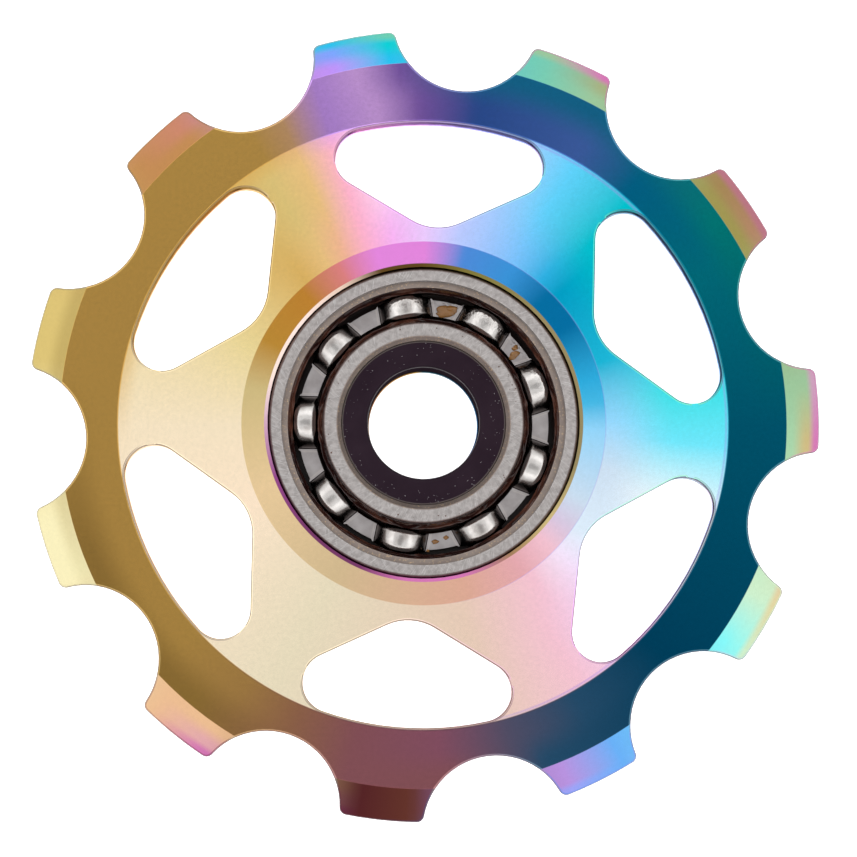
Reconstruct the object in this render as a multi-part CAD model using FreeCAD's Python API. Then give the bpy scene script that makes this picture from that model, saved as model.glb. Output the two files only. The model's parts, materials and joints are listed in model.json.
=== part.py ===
import FreeCAD, Part
import math
import os

# Bicycle derailleur jockey wheel, lying flat on its rear cap with the open bearing upwards.
# Millimetres. Z is the axle. Z = 0 is the rear face of the rear cap.

# Toothed outline
chain_pitch = 12.7
tooth_count = 11
roller_seat_radius = 4.03
tip_below_pitch_circle = 0.73
tooth_corner_radius = 0.42
first_tooth_angle = 2.08
edge_break = 0.12

# Rim, web and hub of the wheel body
rim_thickness = 2.2
rim_width_at_root = 1.71
tooth_bevel_width = 1.86
tooth_bevel_angle = 17.0
rim_step_height = 0.25
rim_step_run = 0.24
rim_step_fillet = 0.3
hub_front_stand = 0.3
mouth_chamfer_width = 0.38
hub_ring_width = 0.97
hub_ring_angle = 35.0
rear_ring_angle = 45.0
hub_lip_thickness = 0.5
hub_lip_width = 0.8
seat_clearance = 0.01

# Windows between the spokes
window_count = 6
first_window_angle = 26.5
window_to_rim = 0.12
window_to_hub = 0.93
spoke_width_at_rim = 4.05
window_corner_radius = 1.65
window_apex_radius = 2.8

# Ball bearing, 9 x 17 x 5
bearing_bore_radius = 4.5
inner_ring_wall = 1.0
shoulder_gap = 2.0
outer_ring_wall = 1.0
bearing_width = 5.0
ball_diameter = 2.381
ball_count = 9
first_ball_angle = 98.9
raceway_conformity = 0.52
ball_clearance = 0.01
outer_ring_corner = 0.2
inner_ring_corner = 0.12
inner_ring_bore_chamfer = 0.22

# Seal grooves of the outer ring and the rear seal
seal_lip_width = 0.2
seal_groove_width = 0.3
seal_lip_step = 0.27
seal_groove_step = 0.42
seal_clearance = 0.03
seal_running_gap = 0.05

# Pressed ribbon cage
cage_sheet = 0.2
cage_pocket_clearance = 0.06
cage_dome_width = 1.18
cage_flat_inner_step = 0.1
cage_flat_outer_step = 0.19
cage_bend_radius = 0.08
cage_ear_length = 0.03

# Rear cap and centre bush
axle_hole_radius = 3.0
cap_flange_thickness = 0.6
cap_inset = 0.3
cap_edge_chamfer = 0.15
cap_side_gap = 0.25
cap_axial_gap = 0.1
cap_sunk_depth = 0.35
cap_land_inset = 0.3
cap_spigot_depth = 1.0
bush_fit_clearance = 0.01
bush_front_recess = 0.3
bush_lip_radius = 0.15
bush_edge_radius = 0.08

# Heights and radii that follow from them
top = FreeCAD.Vector(0, 0, 1)
centre = FreeCAD.Vector(0, 0, 0)
full_turn = 360.0
quarter_turn = full_turn / 4
same_length = 1e-6
upright_wall = 0.01
level_face = 0.5
tooth_step = full_turn / tooth_count
ball_step = full_turn / ball_count
window_step = full_turn / window_count
bearing_half = bearing_width / 2
rim_half = rim_thickness / 2
lip_rear_face = cap_flange_thickness + cap_axial_gap
bearing_rear_face = lip_rear_face + hub_lip_thickness
mid_height = bearing_rear_face + bearing_half
bearing_front_face = mid_height + bearing_half
pitch_radius = chain_pitch / 2 / math.sin(math.radians(tooth_step / 2))
tip_radius = pitch_radius - tip_below_pitch_circle
root_radius = pitch_radius - roller_seat_radius
bevel_radius = tip_radius - tooth_bevel_width
rim_inner_radius = root_radius - rim_width_at_root
web_outer_radius = rim_inner_radius - rim_step_run
inner_shoulder_radius = bearing_bore_radius + inner_ring_wall
outer_shoulder_radius = inner_shoulder_radius + shoulder_gap
bearing_outer_radius = outer_shoulder_radius + outer_ring_wall
seat_radius = bearing_outer_radius + seat_clearance
hub_mouth_radius = bearing_outer_radius + mouth_chamfer_width
hub_ring_radius = hub_mouth_radius + hub_ring_width
ball_radius = ball_diameter / 2
ball_circle_radius = (inner_shoulder_radius + outer_shoulder_radius) / 2
raceway_radius = raceway_conformity * ball_diameter
cap_flange_radius = bearing_outer_radius - cap_inset
cap_land_radius = inner_shoulder_radius - cap_land_inset
bush_radius = bearing_bore_radius - bush_fit_clearance


def at_angle(radius, degrees, height=0.0):
    turn = math.radians(degrees)
    return FreeCAD.Vector(radius * math.cos(turn), radius * math.sin(turn), height)


def in_section(radius, height):
    return FreeCAD.Vector(radius, 0, height)


def line(start, end):
    return Part.LineSegment(start, end).toShape()


def arc(start, end, arc_centre):
    radius = (start - arc_centre).Length
    outwards = (start + end) * 0.5 - arc_centre
    return Part.Arc(start, arc_centre + outwards * (radius / outwards.Length), end).toShape()


def turned(points, base_height):
    corners = [in_section(radius, base_height + height) for radius, height in points]
    section = Part.Face(Part.makePolygon(corners + corners[:1]))
    return section.revolve(centre, top, full_turn)


def circles_at(shape, radius, *heights):
    found = []
    for edge in shape.Edges:
        curve = edge.Curve
        if curve.TypeId != "Part::GeomCircle" or abs(curve.Radius - radius) > same_length:
            continue
        if any(abs(curve.Center.z - height) < same_length for height in heights):
            found.append(edge)
    return found


def ring_about_axis(inner, outer, low, high):
    return Part.makeCylinder(outer, high - low, in_section(0, low)).cut(
        Part.makeCylinder(inner, high - low, in_section(0, low))
    )


def tooth_outline():
    # Roller seats on the pitch circle, rounded into the tips of the teeth beside them.
    corner_centre_radius = tip_radius - tooth_corner_radius
    reach = roller_seat_radius + tooth_corner_radius
    corner_angle = math.degrees(
        math.acos(
            (pitch_radius**2 + corner_centre_radius**2 - reach**2)
            / (2 * pitch_radius * corner_centre_radius)
        )
    )
    edges = []
    for number in range(tooth_count):
        gap_angle = first_tooth_angle + (number + 0.5) * tooth_step
        next_tooth_angle = gap_angle + tooth_step / 2
        next_corner_angle = gap_angle + tooth_step - corner_angle
        seat_centre = at_angle(pitch_radius, gap_angle)
        first_corner = at_angle(corner_centre_radius, gap_angle - corner_angle)
        last_corner = at_angle(corner_centre_radius, gap_angle + corner_angle)
        seat_share = roller_seat_radius / reach
        seat_start = seat_centre + (first_corner - seat_centre) * seat_share
        seat_end = seat_centre + (last_corner - seat_centre) * seat_share
        tip_end = at_angle(tip_radius, gap_angle - corner_angle)
        tip_start = at_angle(tip_radius, gap_angle + corner_angle)
        seat_bottom = at_angle(root_radius, gap_angle)
        edges.append(arc(tip_end, seat_start, first_corner))
        edges.append(Part.Arc(seat_start, seat_bottom, seat_end).toShape())
        edges.append(arc(seat_end, tip_start, last_corner))
        tip_middle = at_angle(tip_radius, next_tooth_angle)
        tip_finish = at_angle(tip_radius, next_corner_angle)
        edges.append(Part.Arc(tip_start, tip_middle, tip_finish).toShape())
    return Part.Wire(edges)


def window_outline():
    # Rounded triangle on the +X axis: apex at the hub, straight sides, arc along the rim.
    # The corner circles by the rim leave the spoke its width, and the sides touch both circles.
    outer_radius = rim_inner_radius - window_to_rim
    inner_radius = hub_ring_radius + window_to_hub
    corner_reach = outer_radius - window_corner_radius
    spoke_side = spoke_width_at_rim / 2 + window_corner_radius
    corner_angle = window_step / 2 - math.degrees(math.asin(spoke_side / corner_reach))
    corner_centre = at_angle(corner_reach, corner_angle)
    apex_centre = at_angle(inner_radius + window_apex_radius, 0)
    reach = corner_centre - apex_centre
    lean = math.asin((window_apex_radius - window_corner_radius) / reach.Length)
    side = math.atan2(reach.y, reach.x) - lean
    outwards = FreeCAD.Vector(-math.sin(side), math.cos(side), 0)
    side_start = apex_centre + outwards * window_apex_radius
    side_end = corner_centre + outwards * window_corner_radius
    rim_point = corner_centre * (outer_radius / corner_centre.Length)
    apex = FreeCAD.Vector(inner_radius, 0, 0)
    crown = FreeCAD.Vector(outer_radius, 0, 0)

    def mirrored(point):
        return FreeCAD.Vector(point.x, -point.y, 0)

    edges = [
        Part.Arc(mirrored(side_start), apex, side_start).toShape(),
        line(side_start, side_end),
        arc(side_end, rim_point, corner_centre),
        Part.Arc(rim_point, crown, mirrored(rim_point)).toShape(),
        arc(mirrored(rim_point), mirrored(side_end), mirrored(corner_centre)),
        line(mirrored(side_end), mirrored(side_start)),
    ]
    return Part.Wire(edges)


def sharp_edges(shape, low_radius, high_radius):
    # Edges where a wall parallel to the axle meets a face that looks along it.
    found = []
    for edge in shape.Edges:
        point = edge.valueAt((edge.FirstParameter + edge.LastParameter) / 2)
        if not low_radius < math.hypot(point.x, point.y) < high_radius:
            continue
        slopes = []
        for face in shape.ancestorsOfType(edge, Part.Face):
            u, v = face.Surface.parameter(point)
            slopes.append(abs(face.normalAt(u, v).z))
        if min(slopes) < upright_wall and max(slopes) > level_face:
            found.append(edge)
    return found


def make_pulley_body():
    hub_front = bearing_half + hub_front_stand
    hub_rear = mid_height - lip_rear_face + cap_sunk_depth
    lip_rear = mid_height - lip_rear_face
    ring_slope = math.tan(math.radians(hub_ring_angle))
    rear_slope = math.tan(math.radians(rear_ring_angle))
    web_height_at_hub = hub_front - hub_ring_width * ring_slope
    web_height_at_rim = rim_half - rim_step_height
    web_slope = (web_height_at_hub - web_height_at_rim) / (web_outer_radius - hub_ring_radius)
    rear_drop = hub_rear - web_height_at_hub + web_slope * (hub_mouth_radius - hub_ring_radius)
    rear_ring_width = rear_drop / (rear_slope - web_slope)
    rear_ring_radius = hub_mouth_radius + rear_ring_width
    blank_radius = tip_radius + edge_break
    bevel_drop = (blank_radius - bevel_radius) * math.tan(math.radians(tooth_bevel_angle))
    blank = turned(
        [
            (seat_radius, hub_front - (hub_mouth_radius - seat_radius)),
            (hub_mouth_radius, hub_front),
            (hub_ring_radius, web_height_at_hub),
            (web_outer_radius, web_height_at_rim),
            (rim_inner_radius, rim_half),
            (bevel_radius, rim_half),
            (blank_radius, rim_half - bevel_drop),
            (blank_radius, bevel_drop - rim_half),
            (bevel_radius, -rim_half),
            (rim_inner_radius, -rim_half),
            (web_outer_radius, -web_height_at_rim),
            (rear_ring_radius, rear_ring_width * rear_slope - hub_rear),
            (hub_mouth_radius, -hub_rear),
            (cap_flange_radius + cap_side_gap, -hub_rear),
            (cap_flange_radius + cap_side_gap, -lip_rear),
            (seat_radius - hub_lip_width, -lip_rear),
            (seat_radius - hub_lip_width, -bearing_half),
            (seat_radius, -bearing_half),
        ],
        mid_height,
    )
    web_edges = circles_at(
        blank, web_outer_radius, mid_height + web_height_at_rim, mid_height - web_height_at_rim
    )
    blank = blank.makeFillet(rim_step_fillet, web_edges)
    teeth = Part.Face(tooth_outline()).extrude(top * (mid_height + hub_front))
    body = blank.common(teeth)
    window = Part.Face(window_outline()).extrude(top * (mid_height + hub_front))
    cutters = []
    for number in range(window_count):
        cutter = window.copy()
        cutter.rotate(centre, top, first_window_angle + number * window_step)
        cutters.append(cutter)
    body = body.cut(cutters)
    window_edges = sharp_edges(body, hub_ring_radius, rim_inner_radius)
    body = body.makeChamfer(edge_break, window_edges)
    outline_edges = sharp_edges(body, rim_inner_radius, blank_radius)
    return body.makeChamfer(edge_break, outline_edges)


def make_outer_ring():
    lip = outer_shoulder_radius + seal_lip_step
    groove = outer_shoulder_radius + seal_groove_step
    groove_front = bearing_half - seal_lip_width
    groove_back = groove_front - seal_groove_width
    ring = turned(
        [
            (bearing_outer_radius, bearing_half),
            (lip, bearing_half),
            (lip, groove_front),
            (groove, groove_front),
            (groove, groove_back),
            (outer_shoulder_radius, groove_back),
            (outer_shoulder_radius, -groove_back),
            (groove, -groove_back),
            (groove, -groove_front),
            (lip, -groove_front),
            (lip, -bearing_half),
            (bearing_outer_radius, -bearing_half),
        ],
        mid_height,
    )
    track_radius = ball_circle_radius + ball_radius + ball_clearance - raceway_radius
    ring = ring.cut(Part.makeTorus(track_radius, raceway_radius, in_section(0, mid_height)))
    corners = circles_at(ring, bearing_outer_radius, bearing_rear_face, bearing_front_face)
    return ring.makeFillet(outer_ring_corner, corners)


def make_inner_ring():
    ring = turned(
        [
            (inner_shoulder_radius, bearing_half),
            (inner_shoulder_radius, -bearing_half),
            (bearing_bore_radius, -bearing_half),
            (bearing_bore_radius, bearing_half),
        ],
        mid_height,
    )
    track_radius = ball_circle_radius - ball_radius - ball_clearance + raceway_radius
    ring = ring.cut(Part.makeTorus(track_radius, raceway_radius, in_section(0, mid_height)))
    shoulders = circles_at(ring, inner_shoulder_radius, bearing_rear_face, bearing_front_face)
    ring = ring.makeFillet(inner_ring_corner, shoulders)
    bore_edges = circles_at(ring, bearing_bore_radius, bearing_rear_face, bearing_front_face)
    return ring.makeChamfer(inner_ring_bore_chamfer, bore_edges)


def make_cage_half():
    # One pressed sheet: a dome over each ball, joined by flats that meet the other half.
    # The section of a dome lies across the radius: X runs round the wheel and Z is the axle.
    dome_inner = ball_radius + cage_pocket_clearance
    dome_outer = dome_inner + cage_sheet
    bend_outer = cage_bend_radius + cage_sheet
    bend_reach = math.sqrt((dome_inner + bend_outer) ** 2 - bend_outer**2)
    bend_centre = in_section(bend_reach, bend_outer)
    brim_reach = bend_reach + cage_ear_length
    outer_tangent = bend_centre * (dome_outer / (dome_outer + cage_bend_radius))
    inner_tangent = bend_centre * (dome_inner / (dome_inner + bend_outer))
    outer_crown = in_section(0, dome_outer)
    inner_crown = in_section(0, dome_inner)
    bend_top = in_section(bend_reach, cage_sheet)
    bend_foot = in_section(bend_reach, 0)
    brim_top = in_section(brim_reach, cage_sheet)
    brim_foot = in_section(brim_reach, 0)

    def mirrored(point):
        return FreeCAD.Vector(-point.x, 0, point.z)

    section = [
        line(brim_foot, brim_top),
        line(brim_top, bend_top),
        arc(bend_top, outer_tangent, bend_centre),
        Part.Arc(outer_tangent, outer_crown, mirrored(outer_tangent)).toShape(),
        arc(mirrored(outer_tangent), mirrored(bend_top), mirrored(bend_centre)),
        line(mirrored(bend_top), mirrored(brim_top)),
        line(mirrored(brim_top), mirrored(brim_foot)),
        line(mirrored(brim_foot), mirrored(bend_foot)),
        arc(mirrored(bend_foot), mirrored(inner_tangent), mirrored(bend_centre)),
        Part.Arc(mirrored(inner_tangent), inner_crown, inner_tangent).toShape(),
        arc(inner_tangent, bend_foot, bend_centre),
        line(bend_foot, brim_foot),
    ]
    band_inner = ball_circle_radius - cage_dome_width / 2
    band_outer = ball_circle_radius + cage_dome_width / 2
    flat_inner = band_inner + cage_flat_inner_step
    flat_outer = band_outer - cage_flat_outer_step
    band = ring_about_axis(band_inner, band_outer, 0, dome_outer)
    flats = ring_about_axis(flat_inner, flat_outer, 0, cage_sheet)
    strip = Part.Face(Part.Wire(section)).extrude(FreeCAD.Vector(0, band_outer, 0))
    brim = Part.makeBox(2 * brim_reach, band_outer, dome_outer, in_section(-brim_reach, 0))
    domes = []
    brims = []
    for number in range(ball_count):
        turn = first_ball_angle + number * ball_step - quarter_turn
        for source, found in ((strip, domes), (brim, brims)):
            moved = source.copy()
            moved.rotate(centre, top, turn)
            found.append(moved)
    domes = [dome.common(band) for dome in domes]
    return flats.cut(brims).fuse(domes).removeSplitter()


def make_rear_seal():
    groove_front = bearing_half - seal_lip_width
    groove_back = groove_front - seal_groove_width
    outer = outer_shoulder_radius + seal_groove_step - seal_clearance
    inner = inner_shoulder_radius + seal_running_gap
    low = mid_height - groove_front + seal_clearance
    high = mid_height - groove_back - seal_clearance
    return ring_about_axis(inner, outer, low, high)


def make_rear_cap():
    spigot_top = bearing_rear_face + cap_spigot_depth
    return turned(
        [
            (axle_hole_radius, 0),
            (cap_flange_radius - cap_edge_chamfer, 0),
            (cap_flange_radius, cap_edge_chamfer),
            (cap_flange_radius, cap_flange_thickness),
            (cap_land_radius, cap_flange_thickness),
            (cap_land_radius, bearing_rear_face),
            (bush_radius, bearing_rear_face),
            (bush_radius, spigot_top),
            (axle_hole_radius, spigot_top),
        ],
        0,
    )


def make_bush():
    rear = bearing_rear_face + cap_spigot_depth
    front = bearing_front_face - bush_front_recess
    bush = ring_about_axis(axle_hole_radius, bush_radius, rear, front)
    bush = bush.makeFillet(bush_lip_radius, circles_at(bush, axle_hole_radius, front))
    return bush.makeFillet(bush_edge_radius, circles_at(bush, bush_radius, front))


os.makedirs("parts", exist_ok=True)

cage_half = make_cage_half()
cage_front = cage_half.copy()
cage_front.translate(top * mid_height)
cage_rear = cage_half.mirror(centre, top)
cage_rear.translate(top * mid_height)

pieces = {
    "pulley_body": make_pulley_body(),
    "bearing_outer_ring": make_outer_ring(),
    "bearing_inner_ring": make_inner_ring(),
    "cage_front": cage_front,
    "cage_rear": cage_rear,
    "rear_seal": make_rear_seal(),
    "centre_bush": make_bush(),
    "rear_dust_cap": make_rear_cap(),
}
for number in range(ball_count):
    ball_place = at_angle(ball_circle_radius, first_ball_angle + number * ball_step, mid_height)
    pieces[f"ball_{number + 1}"] = Part.makeSphere(ball_radius, ball_place)

for name, shape in pieces.items():
    solid = shape.Solids[0]
    solid.exportStep(f"parts/{name}.step")
    print(name, len(shape.Solids), solid.isValid(), round(solid.Volume, 3))
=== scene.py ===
import bpy
import bmesh
import json
from math import asin, atan2, copysign, cos, hypot, pi, radians, sin, sqrt, tan
from math import degrees as toDegrees
from mathutils import Matrix, Vector


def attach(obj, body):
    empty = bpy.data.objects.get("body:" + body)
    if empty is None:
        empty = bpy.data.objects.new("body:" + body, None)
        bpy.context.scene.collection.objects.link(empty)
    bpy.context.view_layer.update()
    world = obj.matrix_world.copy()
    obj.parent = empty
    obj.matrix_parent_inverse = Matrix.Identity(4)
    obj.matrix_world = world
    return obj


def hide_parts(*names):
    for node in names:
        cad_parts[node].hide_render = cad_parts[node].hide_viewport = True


# Oil-slick coated jockey wheel, lying open side up under a soft white tent.
# Metres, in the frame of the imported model: Z is the axle and the floor is at zero. The dictionaries
# give millimetres and degrees. Heights in the shapes of the wheel, the two rings and the cage are from
# their middle plane, all others from the floor.

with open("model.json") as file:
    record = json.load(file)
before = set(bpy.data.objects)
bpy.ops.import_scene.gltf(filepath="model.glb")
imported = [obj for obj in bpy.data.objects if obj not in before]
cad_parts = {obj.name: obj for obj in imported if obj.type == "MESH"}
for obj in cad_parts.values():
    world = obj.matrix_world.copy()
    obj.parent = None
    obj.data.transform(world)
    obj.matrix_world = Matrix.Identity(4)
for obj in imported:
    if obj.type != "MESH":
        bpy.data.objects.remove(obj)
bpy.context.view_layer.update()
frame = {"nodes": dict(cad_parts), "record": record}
mm = 0.001

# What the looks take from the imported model; the radii of mouth and hub ring are the photo's
wheel = {
    "midHeight": 3.70,
    "boreRadius": 3.0,
    "mouthRadius": 8.69,
    "ringRadius": 9.95,
    "rimRadius": 16.80,
    "bevelRadius": 19.95,
    "toothCount": 11,
    "firstTooth": 2.08,
}
balls = {"count": 9, "first": 98.9, "circle": 6.5}


def toLinear(levels):
    # three sRGB levels from 0 to 255 as a linear colour
    shares = [level / 255 for level in levels]
    return tuple(s / 12.92 if s <= 0.04045 else ((s + 0.055) / 1.055) ** 2.4 for s in shares) + (1.0,)


# Helpers that build nodes: a value may be a node's output, a number or, for a colour, three sRGB levels

def plug(tree, socket, value):
    if isinstance(value, bpy.types.NodeSocket):
        tree.links.new(value, socket)
    elif socket.type == "RGBA" and len(value) == 3:
        socket.default_value = toLinear(value)
    else:
        socket.default_value = value


def plugAll(tree, node, inputs):
    for socket, value in inputs.items():
        plug(tree, node.inputs[socket], value)


def addNode(tree, kind, inputs, output=0, **settings):
    node = tree.nodes.new(kind)
    for name, value in settings.items():
        setattr(node, name, value)
    plugAll(tree, node, inputs)
    return node.outputs[output]


def mathNode(tree, operation, *values, clamp=False):
    return addNode(tree, "ShaderNodeMath", dict(enumerate(values)), operation=operation, use_clamp=clamp)


def times(tree, first, second):
    return mathNode(tree, "MULTIPLY", first, second)


def scaled(tree, value, gain, start):
    return mathNode(tree, "MULTIPLY_ADD", value, gain, start)


def rest(tree, value):
    return mathNode(tree, "SUBTRACT", 1.0, value)


def mix(tree, factor, first, second, mode="MIX"):
    inputs = {0: factor, 6: first, 7: second}
    return addNode(tree, "ShaderNodeMix", inputs, 2, data_type="RGBA", blend_type=mode)


def rise(tree, value, low, high):
    inputs = {"Value": value, "From Min": low, "From Max": high}
    return addNode(tree, "ShaderNodeMapRange", inputs, interpolation_type="SMOOTHSTEP")


def stepAt(tree, value, edge, soft):
    return rise(tree, value, edge - soft, edge + soft)


def between(tree, value, low, high, soft):
    return times(tree, stepAt(tree, value, low, soft), rest(tree, stepAt(tree, value, high, soft)))


def combine(tree, *parts):
    return addNode(tree, "ShaderNodeCombineXYZ", dict(enumerate(parts)))


def split(tree, vector):
    node = tree.nodes.new("ShaderNodeSeparateXYZ")
    plug(tree, node.inputs[0], vector)
    return node.outputs


def noise(tree, place, scale, detail=3.0, roughness=0.5):
    inputs = {"Vector": place, "Scale": scale, "Detail": detail, "Roughness": roughness}
    return addNode(tree, "ShaderNodeTexNoise", inputs, "Fac")


def ramp(tree, value, stops):
    node = tree.nodes.new("ShaderNodeValToRGB")
    elements = node.color_ramp.elements
    elements[0].position, elements[0].color = stops[0]
    elements[1].position, elements[1].color = stops[-1]
    for position, colour in stops[1:-1]:
        elements.new(position).color = colour
    plug(tree, node.inputs[0], value)
    return node.outputs["Color"]


def objectPlace(tree):
    return addNode(tree, "ShaderNodeTexCoord", {}, "Object")


def polarCoordinates(tree):
    # radius and height in millimetres, and the turn round the axle from 0 to 1
    place = objectPlace(tree)
    x, y, z = split(tree, place)
    square = mathNode(tree, "ADD", times(tree, x, x), times(tree, y, y))
    radius = times(tree, mathNode(tree, "SQRT", square), 1 / mm)
    turn = mathNode(tree, "FRACT", mathNode(tree, "DIVIDE", mathNode(tree, "ARCTAN2", y, x), 2 * pi))
    return place, radius, times(tree, z, 1 / mm), turn


def newMaterial(name):
    material = bpy.data.materials.new(name)
    material.use_nodes = True
    return material, material.node_tree


def dress(material, colour, roughness, relief, **others):
    # relief is the height, distance and strength of the bump
    tree = material.node_tree
    bumped = addNode(tree, "ShaderNodeBump", dict(zip(("Height", "Distance", "Strength"), relief)))
    inputs = {"Base Color": colour, "Roughness": roughness, "Normal": bumped}
    inputs.update({key.replace("_", " "): value for key, value in others.items()})
    plugAll(tree, tree.nodes["Principled BSDF"], inputs)
    return material


# The rainbow coating: each face of the wheel runs through its own shades round the axle

shades = {
    "petrol": (1, 78, 101), "teal": (2, 98, 112), "lagoon": (3, 88, 122), "indigo": (55, 84, 145),
    "ultramarine": (38, 67, 127), "violet": (105, 76, 144), "lilac": (175, 136, 214),
    "bronze": (165, 128, 92), "gold": (161, 126, 63), "oldGold": (152, 116, 64),
    "umber": (136, 94, 70), "plum": (127, 78, 84), "mulberry": (126, 76, 94), "slate": (78, 76, 99),
    "steelBlue": (36, 73, 102), "navy": (1, 60, 88), "aqua": (110, 230, 250), "cyan": (45, 200, 225),
    "turquoise": (2, 188, 200), "sky": (95, 205, 246), "periwinkle": (185, 200, 252),
    "mauve": (232, 200, 250), "blush": (253, 210, 236), "straw": (228, 188, 125),
    "ochre": (213, 173, 95), "butter": (232, 212, 150), "cream": (244, 226, 194),
    "bone": (231, 219, 189), "sand": (231, 203, 184), "rose": (245, 195, 210),
    "orchid": (246, 212, 249), "ice": (222, 238, 252), "snow": (238, 250, 254),
    "cornflower": (58, 150, 220), "cobalt": (4, 112, 165), "iris": (80, 142, 222),
    "fuchsia": (232, 138, 226), "coral": (222, 130, 130), "amber": (190, 130, 50),
    "honey": (187, 138, 55), "khaki": (208, 187, 130), "wheat": (233, 203, 156),
    "almond": (211, 186, 144), "peach": (222, 171, 150), "salmon": (230, 170, 176),
    "mist": (205, 224, 242), "pistachio": (168, 212, 170), "olive": (160, 150, 84),
    "jade": (120, 203, 178), "mint": (150, 250, 243), "hyacinth": (160, 165, 250),
    "tan": (198, 142, 92), "lemon": (238, 228, 178), "apricot": (239, 192, 148),
    "gilt": (190, 150, 60), "moss": (128, 120, 60), "magenta": (150, 74, 138),
    "pinkLine": (214, 120, 182), "shell": (255, 232, 222), "powder": (150, 216, 253),
    "cerulean": (28, 180, 213), "peacock": (2, 156, 194), "glacier": (121, 191, 248),
    "petal": (244, 177, 239), "verdigris": (3, 108, 106), "denim": (19, 88, 122),
    "olivine": (133, 103, 50), "sienna": (205, 136, 112), "mandarin": (195, 140, 86),
    "citron": (221, 196, 120), "brass": (199, 175, 105), "vanilla": (252, 242, 192),
    "primrose": (228, 215, 164), "madder": (85, 36, 39), "cocoa": (102, 54, 44),
    "skyBlue": (107, 178, 249), "heather": (187, 148, 226), "seafoam": (134, 250, 249),
    "celery": (208, 240, 204), "thistle": (206, 160, 190), "rosewood": (184, 118, 130),
    "sage": (156, 198, 156), "leaf": (165, 178, 132), "moonstone": (36, 192, 238),
    "amethyst": (192, 146, 250), "bluebell": (128, 163, 254), "lake": (2, 206, 214),
    "kelp": (108, 206, 180), "garnet": (120, 60, 104), "drab": (150, 136, 96), "walnut": (92, 68, 32),
    "lime": (150, 204, 112), "spring": (112, 212, 168), "bisque": (238, 222, 188),
    "orchidLine": (206, 140, 226), "wine": (120, 44, 70), "ferrous": (168, 108, 52),
    "fawn": (178, 134, 104), "hazel": (164, 134, 86), "custard": (252, 229, 201),
    "mallow": (154, 116, 186), "hay": (213, 188, 118), "curacao": (60, 224, 230),
    "tide": (46, 174, 224), "roseLeaf": (250, 176, 202), "shrimp": (237, 178, 146),
    "pearl": (246, 230, 252), "mauveMist": (219, 201, 226), "surf": (70, 187, 232),
}
# runs of shades by degrees round the axle
film = {
    "rim": {
        0: "petrol", 28: "teal", 50: "lagoon", 61: "indigo", 81: "ultramarine", 91: "violet",
        99: "lilac", 108: "mallow", 115: "bronze", 121: "gold", 222: "gold", 236: "oldGold",
        246: "umber", 257: "plum", 273: "mulberry", 286: "slate", 299: "steelBlue", 316: "navy",
    },
    # the same face close to the teeth
    "rimEdge": {
        0: "petrol", 35: "verdigris", 60: "denim", 82: "denim", 94: "violet", 101: "lilac",
        108: "mallow", 115: "bronze", 121: "gold", 172: "gold", 200: "olivine", 231: "olivine",
        247: "umber", 257: "plum", 275: "plum", 290: "steelBlue", 316: "navy",
    },
    "webOuter": {
        356: "aqua", 7: "curacao", 18: "cyan", 32: "turquoise", 48: "turquoise", 61: "sky",
        78: "periwinkle", 92: "mauve", 102: "blush", 108: "roseLeaf", 115: "straw", 122: "hay",
        138: "ochre", 152: "butter", 180: "cream", 205: "custard", 240: "bone", 284: "sand",
        302: "rose", 317: "orchid", 330: "ice", 342: "snow",
    },
    "webInner": {
        0: "powder", 18: "cerulean", 44: "peacock", 51: "tide", 61: "glacier", 80: "periwinkle",
        90: "mauve", 100: "petal", 108: "roseLeaf", 115: "shrimp", 121: "straw", 129: "ochre",
        156: "butter", 180: "cream", 205: "custard", 240: "bone", 283: "sand", 306: "rose",
        317: "pearl", 326: "ice", 346: "mist",
    },
    "hubRing": {
        357: "powder", 6: "surf", 14: "tide", 33: "cobalt", 46: "cobalt", 60: "cornflower", 77: "iris",
        90: "fuchsia", 106: "fuchsia", 118: "coral", 132: "amber", 152: "honey", 168: "khaki",
        202: "wheat", 240: "almond", 285: "peach", 304: "salmon", 316: "rose", 324: "mauveMist",
        334: "mist",
    },
    "mouth": {
        0: "drab", 40: "drab", 70: "moss", 92: "walnut", 106: "walnut", 121: "sand", 140: "shell",
        162: "shell", 182: "thistle", 200: "magenta", 224: "garnet", 246: "garnet", 264: "pinkLine",
        285: "pinkLine", 304: "bronze", 322: "khaki", 345: "drab",
    },
    # the thin broken edges round the windows, and round the teeth, in the shades of their painted highlight
    "windowEdge": {
        0: "lime", 40: "spring", 62: "spring", 96: "orchidLine", 130: "khaki", 180: "bisque",
        250: "bisque", 288: "thistle", 310: "orchidLine", 336: "spring",
    },
    "toothEdge": {
        0: "pinkLine", 40: "rosewood", 70: "pinkLine", 96: "kelp", 120: "ferrous", 150: "olive",
        200: "lemon", 232: "wine", 264: "madder", 292: "iris", 312: "hyacinth", 334: "celery",
    },
    # the rear cap
    "cap": {
        0: "cobalt", 50: "lagoon", 90: "teal", 97: "gilt", 155: "tan", 170: "bronze", 250: "plum",
        280: "rose", 310: "plum", 330: "indigo",
    },
}
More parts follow.
